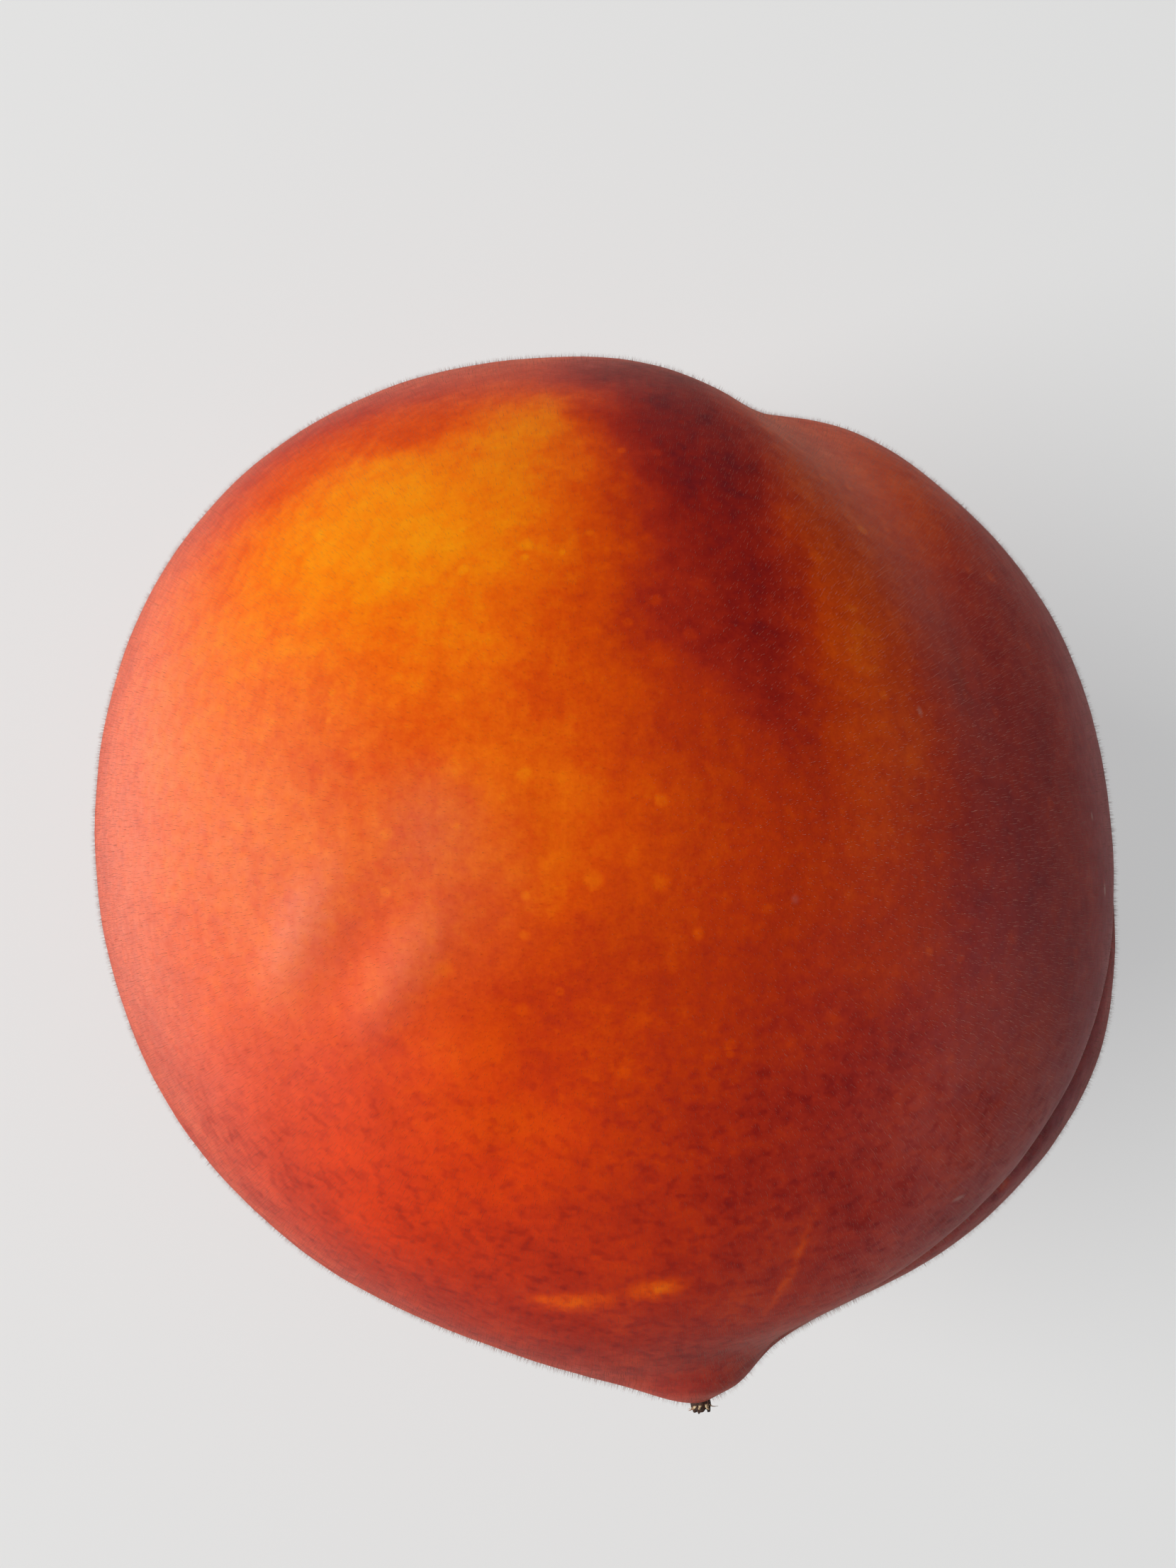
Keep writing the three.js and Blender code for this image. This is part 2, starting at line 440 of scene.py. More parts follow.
    # Slight unevenness of the flesh under the skin, faded out where it rests
    height = (noise(tree, place, 1 / size["unevenness size"], 3, 0.45) - 0.5) * 2 * size["unevenness"]
    height = height * ease(placeZ, *skinFades["unevenness by the floor"])
    offset = node(tree, "ShaderNodeVectorMath", {"operation": "SCALE"},
                  Vector=node(tree, "GeometryNodeInputNormal").outputs[0], Scale=height)
    uneven = node(tree, "GeometryNodeSetPosition", Geometry=laid.outputs[0], Offset=offset.outputs[0])

    # Pressed flat where it rests, with a soft edge
    blend = size["flat blend"]
    soft = placeZ.calc("MAXIMUM", -blend).calc("MINIMUM", blend) + blend
    pressedZ = soft * soft / (4 * blend) + (placeZ - blend).calc("MAXIMUM", 0)
    rested = node(tree, "GeometryNodeSetPosition", Geometry=uneven.outputs[0],
                  Position=joined(tree, placeX, placeY, pressedZ))
    scaled = node(tree, "GeometryNodeTransform", Geometry=rested.outputs[0], Scale=(mm, mm, mm))
    smooth = node(tree, "GeometryNodeSetShadeSmooth", Geometry=scaled.outputs[0])
    finishWithMaterial(tree, smooth.outputs[0], finish)
    return tree


# Skin colours: blush goes from 0, golden ground, to 1, deep wine

skinPaint = {
    "colours": (  # blush, then the colour
        (0.00, (0.97, 0.330, 0.004)),
        (0.15, (0.96, 0.245, 0.002)),
        (0.30, (0.90, 0.150, 0.002)),
        (0.45, (0.78, 0.082, 0.002)),
        (0.60, (0.61, 0.044, 0.004)),
        (0.75, (0.46, 0.025, 0.008)),
        (0.88, (0.33, 0.014, 0.008)),
        (1.00, (0.20, 0.010, 0.013)),
    ),
    "ground": 0.50,
    "wander": 0.15,  # how far the edges of patches stray
    "fineWander": 0.0525,
    "markWander": 0.0135,
    "mottling": 0.25,
    "fineMottling": 1.3,  # beside the coarse mottling
    "streaks": 0.12,
    "streakAlong": 0.12,  # how little streaks change along the meridians
    "axisDistance": 0.01,  # keeps the distance from the axis above 0
    "flecks": 0.11,  # small dark flecks towards the tip
    "fleckLimits": (0.46, 0.74),
    "blotches": 0.26,  # larger red blotches there
    "tipSide": (-0.30, -0.66),  # cosines of the colatitude, from none of them to all
    "broken": (0.26, 0.60, 0.45),  # small marks are crumbly: limits and least cover
    "powderAndSheen": (0.6, 0.8),  # unevenness of the down's whitening and of the painted light over it: least, and how much more
    "powderOffFlecks": 0.3,
    "powderOffBlotches": 1.6,
    # painted sheen of the down where the light catches it, partly the down's own whitening
    "paintedSheen": (0.95, 0.52, 0.42),
    # painted warm light, as from a bounce below the lower cheek
    "paintedWarmLight": (1.0, 0.065, 0.008),
    # painted sheen of cool light in the down on the shaded side, and the greying of the dull spot
    "greyingAndShadeSheen": (0.36, 0.21, 0.25),
    "lint": (0.62, 0.36, 0.30),
    "roughness": 0.55,
    "mottledRoughness": 0.2,
    "relief": 0.35,
    "reliefHeight": 0.09 * mm,
}

# Small pale dots, one in each chosen cell, most on the shoulder and the front cheek
skinDots = {
    "strength": 0.12,
    "scale": 560.0,
    "smaller": 0.7,  # what chance adds to this makes a dot smaller
    "edge": (0.30, 0.12),
    "chosen": (0.66, 0.84),  # cells with a random value above this
    "slant": 0.6,
    "side": (-0.70, -1.05),  # from where there are few dots to where there are most
    "fewest": 0.12,
}

# Corky scar of the stalk
skinScar = {
    "colour": (0.26, 0.125, 0.05),
    "edge": (0.117, 0.093),  # the axis itself is at 0.1
    "ragged": 0.03,
    "stemSide": (0.5, 0.6),  # cosines of the colatitude
}

# Noises on the skin: scale, detail, roughness
skinNoises = {
    "wander": (90, 3, 0.6),
    "fine wander": (600, 1, 0.6),
    "mark wander": (1100, 0, 0.5),
    "broken": (1000, 2, 0.6),
    "streaks": (26, 3, 0.6),
    "mottling": (260, 3, 0.55),
    "fine mottling": (1000, 3, 0.75),
    "flecks": (1350, 1, 0.5),
    "blotches": (190, 2, 0.6),
    "powderAndSheen": (1500, 2, 0.6),
    "scar": (900, 2, 0.6),
    "relief": (1200, 3, 0.7),
}

skinLook = {
    "Specular IOR Level": 0.035,
    "Sheen Weight": 0.09,
    "Sheen Roughness": 0.30,
    "Sheen Tint": (1.0, 0.66, 0.50, 1),
    "Subsurface Weight": 0.10,
    "Subsurface Radius": (1.0, 0.35, 0.12),
    "Subsurface Scale": 1.6 * mm,
}

# Patches in the order of painting: colatitude, longitude, reach along, reach across, turn, blush,
# softness of the edge
skinPatches = {
    "stem cavity": (0, 0, 17, 17, 0, 0.28, 0.7),
    "front cheek": (104, -82, 60, 40, 0, 0.46, 0.8),
    "coral side": (96, -112, 30, 22, 0, 0.34, 0.7),
    "dull spot": (99, -87, 3.4, 3.0, 0, 0.50, 0.9),
    # painted shade in the dent between the two ripples
    "painted shade between the ripples": (109.6, -95.3, 6.5, 1.7, -40, 0.46, 0.9),
    "left edge": (95, -146, 50, 16, 0, 0.60, 0.8),
    "left shoulder": (52.5, -113, 10.5, 17, 20, 0.68, 0.9),
    "lower cheek": (133, -98, 12, 34, 0, 0.53, 0.8),
    "above the tip": (148, -90, 12, 50, 0, 0.66, 0.8),
    "gold halo": (71.5, -91, 13, 16, 0, 0.28, 0.8),
    "gold": (71, -95, 8.5, 11, -10, 0.12, 0.8),
    "orange below the gold": (81.5, -94, 4, 13, -5, 0.27, 0.9),
    "rust beside the gold": (62.5, -109.5, 5, 5.5, 0, 0.46, 0.9),
    "gold by the stem": (62, -86, 7, 6, 0, 0.20, 0.8),
    "rust under the rim": (57, -98.5, 3.6, 7.5, -8, 0.50, 0.9),
    "dusky slope": (85, -62, 20, 11, 14, 0.67, 0.9),
    "top of the wine stripe": (46, -76, 6, 8, 0, 0.90, 0.9),
    "wine stripe": (62, -66.8, 22, 5.7, 21, 0.95, 0.8),
    "wine stripe, low end": (77, -60.5, 8, 7.5, 12, 0.87, 0.9),
    "orange centre": (106, -69, 13, 9, 0, 0.55, 0.9),
    "orange beside it": (98, -80, 11, 8, 0, 0.35, 0.9),
    "low middle": (117, -58, 10, 9, 0, 0.66, 0.9),
    "red below the middle": (121, -78, 13, 8, 0, 0.61, 0.9),
    "suture side": (95, -15, 54, 34, 0, 0.76, 0.38),
    "past the suture": (95, 25, 55, 34, 0, 0.86, 0.5),
    "orange band": (76, -51.8, 24, 5.2, 6, 0.47, 0.9),
    "crest of the furrow": (54, -42, 12, 7, 0, 0.52, 0.8),
    "red beside the tip": (133, -50, 15, 15, 0, 0.76, 0.5),
    "brown by the tip": (124, -34, 12, 8, 0, 0.62, 0.8),
    "wine above the tip": (141, -68, 6, 11, 0, 0.74, 0.8),
    "tip": (168, -40, 16, 60, 0, 0.78, 0.8),
}

# Small marks, painted over the patches and likewise
skinMarks = {
    "yellow spot above the tip": (148.6, -72.3, 1.2, 2.1, 24, 0.24, 0.9),
    "yellow spot to the left": (150.8, -87.5, 1.3, 3.0, 12, 0.32, 0.9),
    "small yellow spot": (150.2, -92.5, 0.8, 1.5, 0, 0.38, 0.9),
    "pale line by the tip": (146.5, -51.0, 6.5, 0.45, 0, 0.48, 0.9),
    "red spot in the suture": (136.5, -9.8, 1.0, 1.0, 0, 0.50, 0.6),
    "dull spot on the lower cheek": (122, -104, 3.2, 4.5, 0, 0.64, 0.9),
    "second dull spot there": (118, -93, 2.4, 3.6, 0, 0.56, 0.9),
    "bright spot on the lower cheek": (119, -86, 3.0, 4.0, 0, 0.42, 0.9),
    "bright spot below it": (127, -87, 2.4, 4.5, 0, 0.42, 0.9),
    "pale fleck": (84.5, -69, 1.2, 1.2, 0, 0.52, 0.9),
}

# Painted light, by tint: sheen where the light catches the down, partly its own whitening; sheen in the
# shade;
# warm light on the lower cheek. Likewise, with the strength in place of the blush
skinPaintedLight = {
    # painted sheen where the light catches the down, partly its own whitening, and painted highlights on the
    # crest of the furrow and the ridges of the ripples
    "paintedSheen": {
        "coral side": (106, -114, 20, 17, 0, 0.18, 0.7),
        "front of the coral side": (104, -86, 7, 5, 0, 0.04, 0.9),
        "left edge": (92, -134, 40, 12, 0, 0.16, 0.9),
        "left edge, high": (84, -122, 14, 9, 0, 0.10, 0.9),
        "rim of the shoulder": (46, -103, 6, 16, 0, 0.09, 0.9),
        "crest of the furrow": (64, -45.8, 20, 3.4, 13, 0.09, 1.0),
        "crest by the stem": (48, -51, 9, 4.5, 13, 0.14, 1.0),
        "first ripple": (107.4, -101.0, 5.5, 1.9, -40, 0.15, 1.0),
        "second ripple": (112.3, -92.2, 5.5, 2.0, -42, 0.11, 1.0),
    },
    # painted warm light on the lower cheek
    "paintedWarmLight": {
        "lower cheek": (131, -101, 17, 19, 0, 0.45, 0.8),
    },
    # painted sheen of cool light in the down on the shaded side and at the beak, and the greying of the dull
    # spot
    "greyingAndShadeSheen": {
        "suture side": (106, -32, 38, 14, 0, 0.13, 0.9),
        "right edge": (88, -14, 32, 8, 0, 0.27, 0.9),
        "lips of the suture": (130, -14, 22, 10, -10, 0.25, 0.9),
        "below the right edge": (118, -34, 16, 8, 0, 0.14, 0.9),
        "beak": (174, -40, 12, 12, 0, 0.03, 0.9),
        "dull spot": (99, -87, 3.6, 3.0, 0, 0.07, 1.0),
    },
}

# Specks of lint, likewise
skinLint = {
    "long speck": (86.3, -46.4, 0.45, 0.20, 8, 0.30, 0.9),
    "speck in the middle": (105.8, -57.6, 0.35, 0.25, 0, 0.12, 0.9),
    "speck by the edge": (100, -18, 0.6, 0.28, 0, 0.7, 0.8),
    "small speck by the edge": (91.8, -21, 0.4, 0.25, 0, 0.5, 0.8),
    "speck by the tip": (136, -30, 0.3, 0.6, 30, 0.4, 0.8),
}


def patchMasks(tree, place, patches):  # for each patch its mask, from 0 to 1, and its blush or strength
    for colatitude, longitude, along, across, turn, value, softness in patches.values():
        down, aside = math.radians(colatitude), math.radians(longitude)
        out = Vector((math.sin(down) * math.cos(aside), math.sin(down) * math.sin(aside), math.cos(down)))
        east = Vector((-math.sin(aside), math.cos(aside), 0))
        upright = Matrix((east, out.cross(east), out)).transposed()
        turned = upright @ Matrix.Rotation(math.radians(turn), 3, "Z")
        mapping = node(tree, "ShaderNodeMapping", {"vector_type": "TEXTURE"}, Vector=place, Location=out,
                       Rotation=turned.to_euler(), Scale=(math.radians(across), math.radians(along), 1.0))
        reach = node(tree, "ShaderNodeVectorMath", {"operation": "LENGTH"}, Vector=mapping.outputs[0])
        yield ease(Number(tree, reach.outputs["Value"]), 1 + softness, 1 - softness), value


def paleDots(tree, place, x, y):
    cells = node(tree, "ShaderNodeTexVoronoi", Vector=place, Scale=skinDots["scale"], Randomness=1.0)
    chance, bulk, _ = parts(tree, cells.outputs["Color"])
    fromCentre = Number(tree, cells.outputs["Distance"]) * (skinDots["smaller"] + bulk)
    side = ease(y - x * skinDots["slant"], *skinDots["side"], skinDots["fewest"], 1.0)
    return ease(fromCentre, *skinDots["edge"]) * ease(chance, *skinDots["chosen"]) * side


def makeSkinMaterial():
    material, tree, shader = newMaterial("downy peach skin", skinLook)
    place = node(tree, "ShaderNodeTexCoord").outputs["Object"]
    grown = node(tree, "ShaderNodeAttribute", {"attribute_name": "grown"}).outputs["Vector"]

    # Patches with straying edges, then the small marks
    wander = noise(tree, place, *skinNoises["wander"], "Color")
    stray = added(tree, grown, wander, skinPaint["wander"])
    wander = noise(tree, place, *skinNoises["fine wander"], "Color")
    stray = added(tree, stray, wander, skinPaint["fineWander"])
    blush = skinPaint["ground"]
    for mask, target in patchMasks(tree, stray, skinPatches):
        blush = mixed(tree, mask, blush, target)
    wander = noise(tree, place, *skinNoises["mark wander"], "Color")
    near = added(tree, grown, wander, skinPaint["markWander"])
    broken = ease(noise(tree, place, *skinNoises["broken"]), *skinPaint["broken"])
    for mask, target in patchMasks(tree, near, skinMarks):
        blush = mixed(tree, mask * broken, blush, target)

    # Mottling in two sizes, streaks along the meridians, flecks and blotches towards the tip, and dots
    x, y, z = parts(tree, grown)
    ring = (x * x + y * y + skinPaint["axisDistance"]).calc("SQRT")
    meridians = joined(tree, x / ring, y / ring, z * skinPaint["streakAlong"])
    streaks = noise(tree, meridians, *skinNoises["streaks"]) - 0.5
    mottling = noise(tree, place, *skinNoises["mottling"]) - 0.5
    mottling = mottling + (noise(tree, place, *skinNoises["fine mottling"]) - 0.5) * skinPaint["fineMottling"]
    low = ease(z, *skinPaint["tipSide"])
    flecks = ease(noise(tree, place, *skinNoises["flecks"]), *skinPaint["fleckLimits"]) * low
    blotches = (noise(tree, place, *skinNoises["blotches"]) - 0.5) * low
    dots = paleDots(tree, place, x, y)
    blush = (blush + mottling * skinPaint["mottling"] + streaks * skinPaint["streaks"]
             + flecks * skinPaint["flecks"] + blotches * skinPaint["blotches"] - dots * skinDots["strength"])
    colour = ramp(tree, blush, skinPaint["colours"])

    # Whitening by the down with painted sheen and painted warm light, uneven on the small scale, and lint
    least, more = skinPaint["powderAndSheen"]
    powderAndSheen = (noise(tree, place, *skinNoises["powderAndSheen"]) * more + least
              - flecks * skinPaint["powderOffFlecks"] - blotches * skinPaint["powderOffBlotches"])
    # painted sheen, painted sheen in the shade and painted warm light, each laid over the colour
    for tint, patches in skinPaintedLight.items():
        for mask, strength in patchMasks(tree, near, patches):
            colour = tinted(tree, mask * powderAndSheen * strength, colour, skinPaint[tint])
    for mask, strength in patchMasks(tree, grown, skinLint):
        colour = tinted(tree, mask * strength, colour, skinPaint["lint"])

    # Corky scar of the stalk
    start, end = skinScar["stemSide"]
    nearAxis = ring * ease(z, start, end) + ease(z, end, start)
    ragged = nearAxis + (noise(tree, place, *skinNoises["scar"]) - 0.5) * skinScar["ragged"]
    colour = tinted(tree, ease(ragged, *skinScar["edge"]), colour, skinScar["colour"])
    feed(tree, shader.inputs["Base Color"], colour)

    feed(tree, shader.inputs["Roughness"], skinPaint["roughness"] + mottling * skinPaint["mottledRoughness"])
    bump = node(tree, "ShaderNodeBump", Strength=skinPaint["relief"], Distance=skinPaint["reliefHeight"],
                Height=noise(tree, place, *skinNoises["relief"]))
    feed(tree, shader.inputs["Normal"], bump.outputs[0])
    return material


skin = newPiece("skin")
withModifier(skin, makeSkinTree(makeSkinMaterial()), skinShape)
frozen(skin)
print("skin:", len(skin.data.vertices), "vertices")


# Down: short fine hairs, one piece for each quarter of the skin

downSize = {
    "hairs": 10.2e6,  # per square metre
    "length": 0.32 * mm,
    "width": 0.011 * mm,
    "shortest": 0.55,  # share of the length
    "longest": 1.25,
    "fuller": 1.25,  # size of hairs on the beak
    "fuller from": -0.88,  # cosines of the colatitude between which they grow to it
    "fuller to": -0.98,
    "lean": 0.22,  # how far each hair leans from upright
    "shared lean": 0.352,  # how far neighbours lean the same way
    "lay size": 9.0 * mm,  # how far hairs share a direction
    "above floor": 0.9 * mm,
    "scar edge": 0.9955,  # cosine of the colatitude where the down begins
    "seed": 4,
}

downLook = {"Base Color": (0.36, 0.185, 0.145, 1), "Roughness": 0.75, "Specular IOR Level": 0.3}

# Quarters of the skin: side in x, side in y
downQuarters = {
    "down_stem_right": (1, 1),
    "down_stem_left": (-1, 1),
    "down_tip_right": (1, -1),
    "down_tip_left": (-1, -1),
}


def makeDownTree(finish):
    tree, size = newTree("down", {"Skin": "", "quarter": (1.0, 1.0, 0.0), **downSize})
    place = node(tree, "GeometryNodeInputPosition").outputs[0]
    x, y, z = parts(tree, place)
    sideX, sideY, _ = parts(tree, size["quarter"])
    grown = node(tree, "GeometryNodeInputNamedAttribute", {"data_type": "FLOAT_VECTOR"}, Name="grown")
    fromStem = parts(tree, grown.outputs[0])[2]
    here = ((x * sideX).calc("GREATER_THAN", 0) * (y * sideY).calc("GREATER_THAN", 0)
            * z.calc("GREATER_THAN", size["above floor"]) * fromStem.calc("LESS_THAN", size["scar edge"]))
    spread = node(tree, "GeometryNodeDistributePointsOnFaces", Mesh=size["Skin"], Density=size["hairs"],
                  Seed=size["seed"], Selection=here)

    # Upright, leaning a little with the neighbours and a little by chance
    lay = noise(tree, place, 1 / size["lay size"], 1, 0.5, "Color")
    shake = node(tree, "FunctionNodeRandomValue", {"data_type": "FLOAT_VECTOR"}, Seed=size["seed"],
                 Min=(0, 0, 0), Max=(1, 1, 1))
    leaning = added(tree, spread.outputs["Normal"], lay, size["shared lean"])
    leaning = added(tree, leaning, shake.outputs["Value"], size["lean"])
    turn = node(tree, "FunctionNodeAlignRotationToVector", {"axis": "Z"}, Vector=leaning)

    hair = node(tree, "GeometryNodeMeshCone", {"fill_type": "NGON"}, Vertices=3, Depth=size["length"],
                **{"Radius Top": 0.0, "Radius Bottom": size["width"] / 2})
    longer = node(tree, "FunctionNodeRandomValue", {"data_type": "FLOAT"}, Seed=size["seed"] + 1)
    feed(tree, longer.inputs[2], size["shortest"])
    feed(tree, longer.inputs[3], size["longest"])
    fuller = ease(fromStem, size["fuller from"], size["fuller to"], 1.0, size["fuller"])
    hairScale = joined(tree, fuller, fuller, fuller * Number(tree, longer.outputs[1]))
    hairs = node(tree, "GeometryNodeInstanceOnPoints", Points=spread.outputs["Points"],
                 Instance=hair.outputs["Mesh"], Rotation=turn.outputs[0], Scale=hairScale)
    finishWithMaterial(tree, hairs.outputs[0], finish)
    return tree


def makeDown():
    tree = makeDownTree(newMaterial("down", downLook)[0])
    made = []
    for number, (name, (x, y)) in enumerate(downQuarters.items()):
        piece = newPiece(name, skin.data)
        withModifier(piece, tree, {**downSize, "quarter": (x, y, 0.0), "seed": downSize["seed"] + number})
        made.append(frozen(piece))
        print(name, len(piece.data.polygons), "faces")
    return made


downPieces = makeDown()


# Dry style on the beak: a dark torn cup with pale fibres round its mouth

styleSize = {
    "seed": 11,
    "radius": 0.64 * mm,
    "height": 0.50 * mm,
    "root": 0.45 * mm,  # how far it sits in the skin
    "wall": 0.24 * mm,
    "ragged": 0.36 * mm,
    "around": 36,
    "levels": 12,
    # shares of the radius: at the foot, more at half height, less at the mouth, and by chance
    "foot": 0.92,
    "bulge": 0.16,
    "narrower": 0.08,
    "lobed": 0.10,
    "rough": 0.03,
    # its hollow: shares of the radius and the height, then how much thicker the wall is at the foot
    "hollowFoot": 0.35,
    "hollowFloor": 0.35,
    "thickFoot": 1.6,
    "hollowLeast": 0.08 * mm,
}

styleFibre = {
    # round the mouth in degrees, length, width, how far it curls outwards
    "fibres": ((20, 0.55, 0.46, 1.2), (62, 0.45, 0.36, 0.9), (150, 0.50, 0.46, 1.3), (192, 0.42, 0.38, 1.0),
               (262, 0.36, 0.30, 0.7), (320, 0.48, 0.42, 1.1), (106, 0.34, 0.28, 0.8)),
    "steps": 7,
    "thick": 0.05 * mm,
    "sway": 0.08 * mm,
    "rootOut": 0.98,  # share of the cup's radius
    "rootUp": 0.15,  # share of its height
    "out": 0.8,  # of its length, how far the end reaches out, up, and bows down again
    "up": 1.1,
    "bow": 0.5,
    "taper": 0.75,
    "uneven": 0.15,
}

huskPaint = {
    "grain": (5200, 3, 0.65),
    "colours": ((0.35, (0.007, 0.004, 0.003)), (0.72, (0.085, 0.032, 0.014))),
    "roughness": (0.65, 0.3),  # least, and how much more with the grain
    "relief": 0.7,
    "reliefHeight": 0.05 * mm,
}

fibrePaint = {
    "grain": (7000, 2, 0.6),
    "colours": ((0.30, (0.42, 0.26, 0.13)), (0.65, (0.80, 0.68, 0.42))),
    "roughness": (0.6, 0.25),
}


def grainyMaterial(name, paint):
    material, tree, shader = newMaterial(name, {})
    grain = noise(tree, node(tree, "ShaderNodeTexCoord").outputs["Object"], *paint["grain"])
    least, more = paint["roughness"]
    feed(tree, shader.inputs["Base Color"], ramp(tree, grain, paint["colours"]))
    feed(tree, shader.inputs["Roughness"], least + grain * more)
    if "relief" in paint:
        bump = node(tree, "ShaderNodeBump", Strength=paint["relief"], Distance=paint["reliefHeight"],
                    Height=grain)
        feed(tree, shader.inputs["Normal"], bump.outputs[0])
    return material


def findStylePlace():  # at the tip of the beak, its z pointing out of the fruit
    grown = skin.data.attributes["grown"].data
    tip = min(skin.data.vertices, key=lambda vertex: grown[vertex.index].vector.z).co
    out = Vector((0, 0, -1))
    out.rotate(Matrix.Rotation(math.radians(-skinShape["bend"]), 3, "Y"))
    out = lyingTurn() @ out
    turn = Vector((0, 0, 1)).rotation_difference(out).to_matrix().to_4x4()
    return Matrix.Translation(tip) @ turn


def meshPiece(name, shape, place, material):
    bmesh.ops.recalc_face_normals(shape, faces=shape.faces)
    mesh = bpy.data.meshes.new(name)
    shape.to_mesh(mesh)
    shape.free()
    mesh.transform(place)
    mesh.materials.append(material)
    for face in mesh.polygons:
        face.use_smooth = True
    return newPiece(name, mesh)


def skinOver(shape, rings):  # faces between rings of vertices, with both ends closed
    for lower, upper in zip(rings, rings[1:]):
        for k in range(len(lower)):
            j = (k + 1) % len(lower)
            shape.faces.new((lower[k], lower[j], upper[j], upper[k]))
    shape.faces.new(list(reversed(rings[0])))
    shape.faces.new(rings[-1])


def makeStyleCup(place):
    size = styleSize
    chance = random.Random(size["seed"])
    around, levels = size["around"], size["levels"]
    lobes = [chance.uniform(-size["lobed"], size["lobed"]) for _ in range(around)]
    torn = [chance.uniform(0, 1) for _ in range(around)]
    shape = bmesh.new()
    rings = []
    for inner in (False, True):
        for level in range(levels + 1):
            t = level / levels if not inner else 1 - level / levels
            girth = size["foot"] + size["bulge"] * math.sin(math.pi * t) - size["narrower"] * t
            ring = []
            for k in range(around):
                angle = 2 * math.pi * k / around
                lobed = 1 + (lobes[k] + lobes[k - 1] + lobes[k - 2]) * 0.5
                uneven = lobed + chance.uniform(-size["rough"], size["rough"])
                radius = size["radius"] * girth * uneven
                top = size["height"] + size["ragged"] * ((torn[k] + torn[k - 1]) / 2 - 0.5)
                height = -size["root"] + (top + size["root"]) * t
                if inner:
                    radius = max(radius - size["wall"] * (size["thickFoot"] - t), size["hollowLeast"])
                    radius *= size["hollowFoot"] + (1 - size["hollowFoot"]) * t
                    height = max(height, size["height"] * size["hollowFloor"]) if t < 1 else height
                ring.append(shape.verts.new((radius * math.cos(angle), radius * math.sin(angle), height)))
            rings.append(ring)
    skinOver(shape, rings)
    bmesh.ops.triangulate(shape, faces=[f for f in shape.faces if len(f.verts) > 4])
    return meshPiece("style_cup", shape, place, grainyMaterial("dry brown husk", huskPaint))


def makeStyleFibres(place):
    size = styleFibre
    chance = random.Random(styleSize["seed"] + 1)
    shape = bmesh.new()
    for angle, length, width, curl in size["fibres"]:
        turn = Matrix.Rotation(math.radians(angle), 3, "Z")
        rows = []
        for step in range(size["steps"] + 1):
            t = step / size["steps"]
            out = styleSize["radius"] * size["rootOut"] + length * mm * curl * t * t * size["out"]
            rise = length * mm * t * (size["up"] - size["bow"] * curl * t)
            up = styleSize["height"] * size["rootUp"] + rise
            half = width * mm / 2 * (1 - size["taper"] * t ** 1.5)
            half *= chance.uniform(1 - size["uneven"], 1 + size["uneven"])
            sway = size["sway"] * math.sin(3 * t + angle)
            row = [turn @ Vector((out + depth, side * half + sway, up)) for side, depth in
                   ((-1, 0), (0, size["thick"] * 0.6), (1, 0), (0, -size["thick"]))]
            rows.append([shape.verts.new(v) for v in row])
        skinOver(shape, rows)
    return meshPiece("style_fibres", shape, place, grainyMaterial("pale torn fibre", fibrePaint))


stylePlace = findStylePlace()
styleCup = makeStyleCup(stylePlace)
styleFibres = makeStyleFibres(stylePlace)
print("style:", len(styleCup.data.polygons) + len(styleFibres.data.polygons), "faces")


# Floor, lights and soft surroundings

studio = {
    "floorRadius": 2.5,
    "floorDrop": 0.1 * mm,
    "floorShade": 0.42,
    "floorTint": (0.985, 1.0, 1.0),
    # glow of the floor, so that shadows on it stay pale: under the fruit, where it is lower as a painted
    # contact shadow, beside it and far off, and the distances from the middle between which it rises
    "floorGlow": (0.10, 0.44, 0.72),
    "floorRises": ((0.012, 0.055), (0.45, 1.7)),
    "backdropRadius": 3.0,
    "world": (0.90, 0.94, 1.0),
    "worldStrength": 0.12,
    "aim": (0, 0, 0.036),
    # light: place, size, watts, colour
    "lights": {
        "window": ((-1.45, 0.02, 1.06), 1.32, 36.5, (1.0, 0.98, 0.95)),
        "fill": ((0.60, 0.40, 1.80), 1.20, 2.0, (0.90, 0.94, 1.0)),
    },
}

floorLook = {"Emission Strength": 1.0, "Roughness": 0.9, "Specular IOR Level": 0.1}

backdropLook = {
    "Base Color": (0, 0, 0, 1),
    "Specular IOR Level": 0,
    "Emission Color": (0.72, 0.73, 0.73, 1),
    "Emission Strength": 1.0,
}


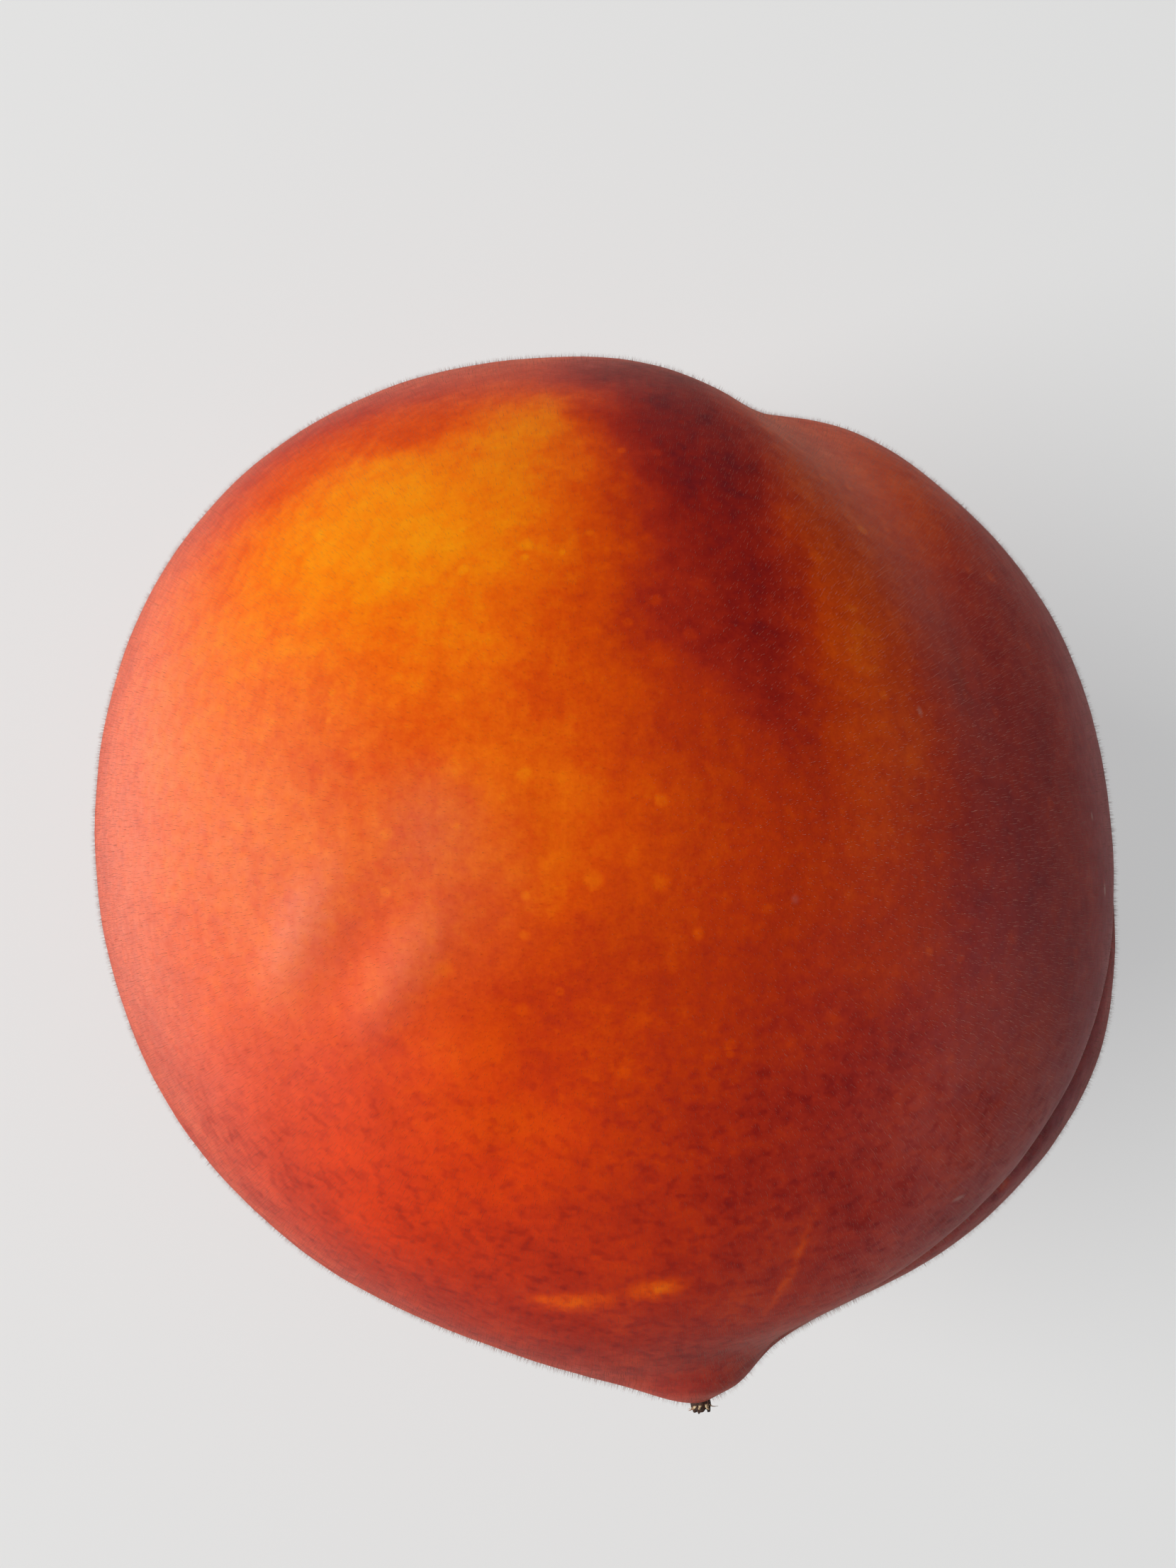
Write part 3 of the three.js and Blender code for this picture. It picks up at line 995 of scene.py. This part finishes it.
def makeFloorMaterial():  # near the fruit it takes shadows and its glow is lower under the fruit, a painted contact shadow; far off it fades into the backdrop
    material, tree, shader = newMaterial("pale floor", floorLook)
    away = node(tree, "ShaderNodeVectorMath", {"operation": "LENGTH"},
                Vector=node(tree, "ShaderNodeTexCoord").outputs["Object"])
    away = Number(tree, away.outputs["Value"])
    under, beside, farOff = studio["floorGlow"]
    firstRise, lastRise = studio["floorRises"]
    # less glow right under the fruit: painted contact shadow
    glow = ease(away, *firstRise, under, beside) + ease(away, *lastRise, 0, farOff - beside)
    feed(tree, shader.inputs["Emission Color"], tinted(tree, glow, (0, 0, 0, 1), studio["floorTint"]))
    shade = ease(away, *lastRise, studio["floorShade"], 0)
    feed(tree, shader.inputs["Base Color"], tinted(tree, shade, (0, 0, 0, 1), (1, 1, 1)))
    return material


def makeLight(name, place, size, watts, colour):
    lamp = bpy.data.lights.new(name, "AREA")
    lamp.size = size
    lamp.energy = watts
    lamp.color = colour
    light = bpy.data.objects.new(name, lamp)
    light.location = place
    light.rotation_euler = (Vector(studio["aim"]) - Vector(place)).to_track_quat("-Z", "Y").to_euler()
    light.visible_camera = False
    bpy.context.scene.collection.objects.link(light)


def makeWorld():
    world = bpy.data.worlds.new("studio")
    world.use_nodes = True
    background = world.node_tree.nodes["Background"]
    background.inputs["Color"].default_value = (*studio["world"], 1)
    background.inputs["Strength"].default_value = studio["worldStrength"]
    bpy.context.scene.world = world
    bpy.context.scene.view_settings.view_transform = "Standard"


def makeStudio():
    shape = bmesh.new()
    bmesh.ops.create_circle(shape, cap_ends=True, segments=96, radius=studio["floorRadius"])
    floor = meshPiece("floor", shape, Matrix.Translation((0, 0, -studio["floorDrop"])), makeFloorMaterial())
    shape = bmesh.new()
    bmesh.ops.create_uvsphere(shape, u_segments=48, v_segments=24, radius=studio["backdropRadius"])
    backdrop = meshPiece("backdrop", shape, Matrix.Identity(4), newMaterial("pale backdrop", backdropLook)[0])
    backdrop.visible_diffuse = False
    backdrop.visible_glossy = False
    backdrop.visible_shadow = False
    for name, light in studio["lights"].items():
        makeLight(name, *light)
    makeWorld()
    return floor, backdrop


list(makeStudio())
print("studio ready")

for piece in (skin, *downPieces):
    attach(piece, "root")
for piece in (styleCup, styleFibres):
    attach(piece, "root")
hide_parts("fruit")
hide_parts("dried_style")
print("pieces placed")
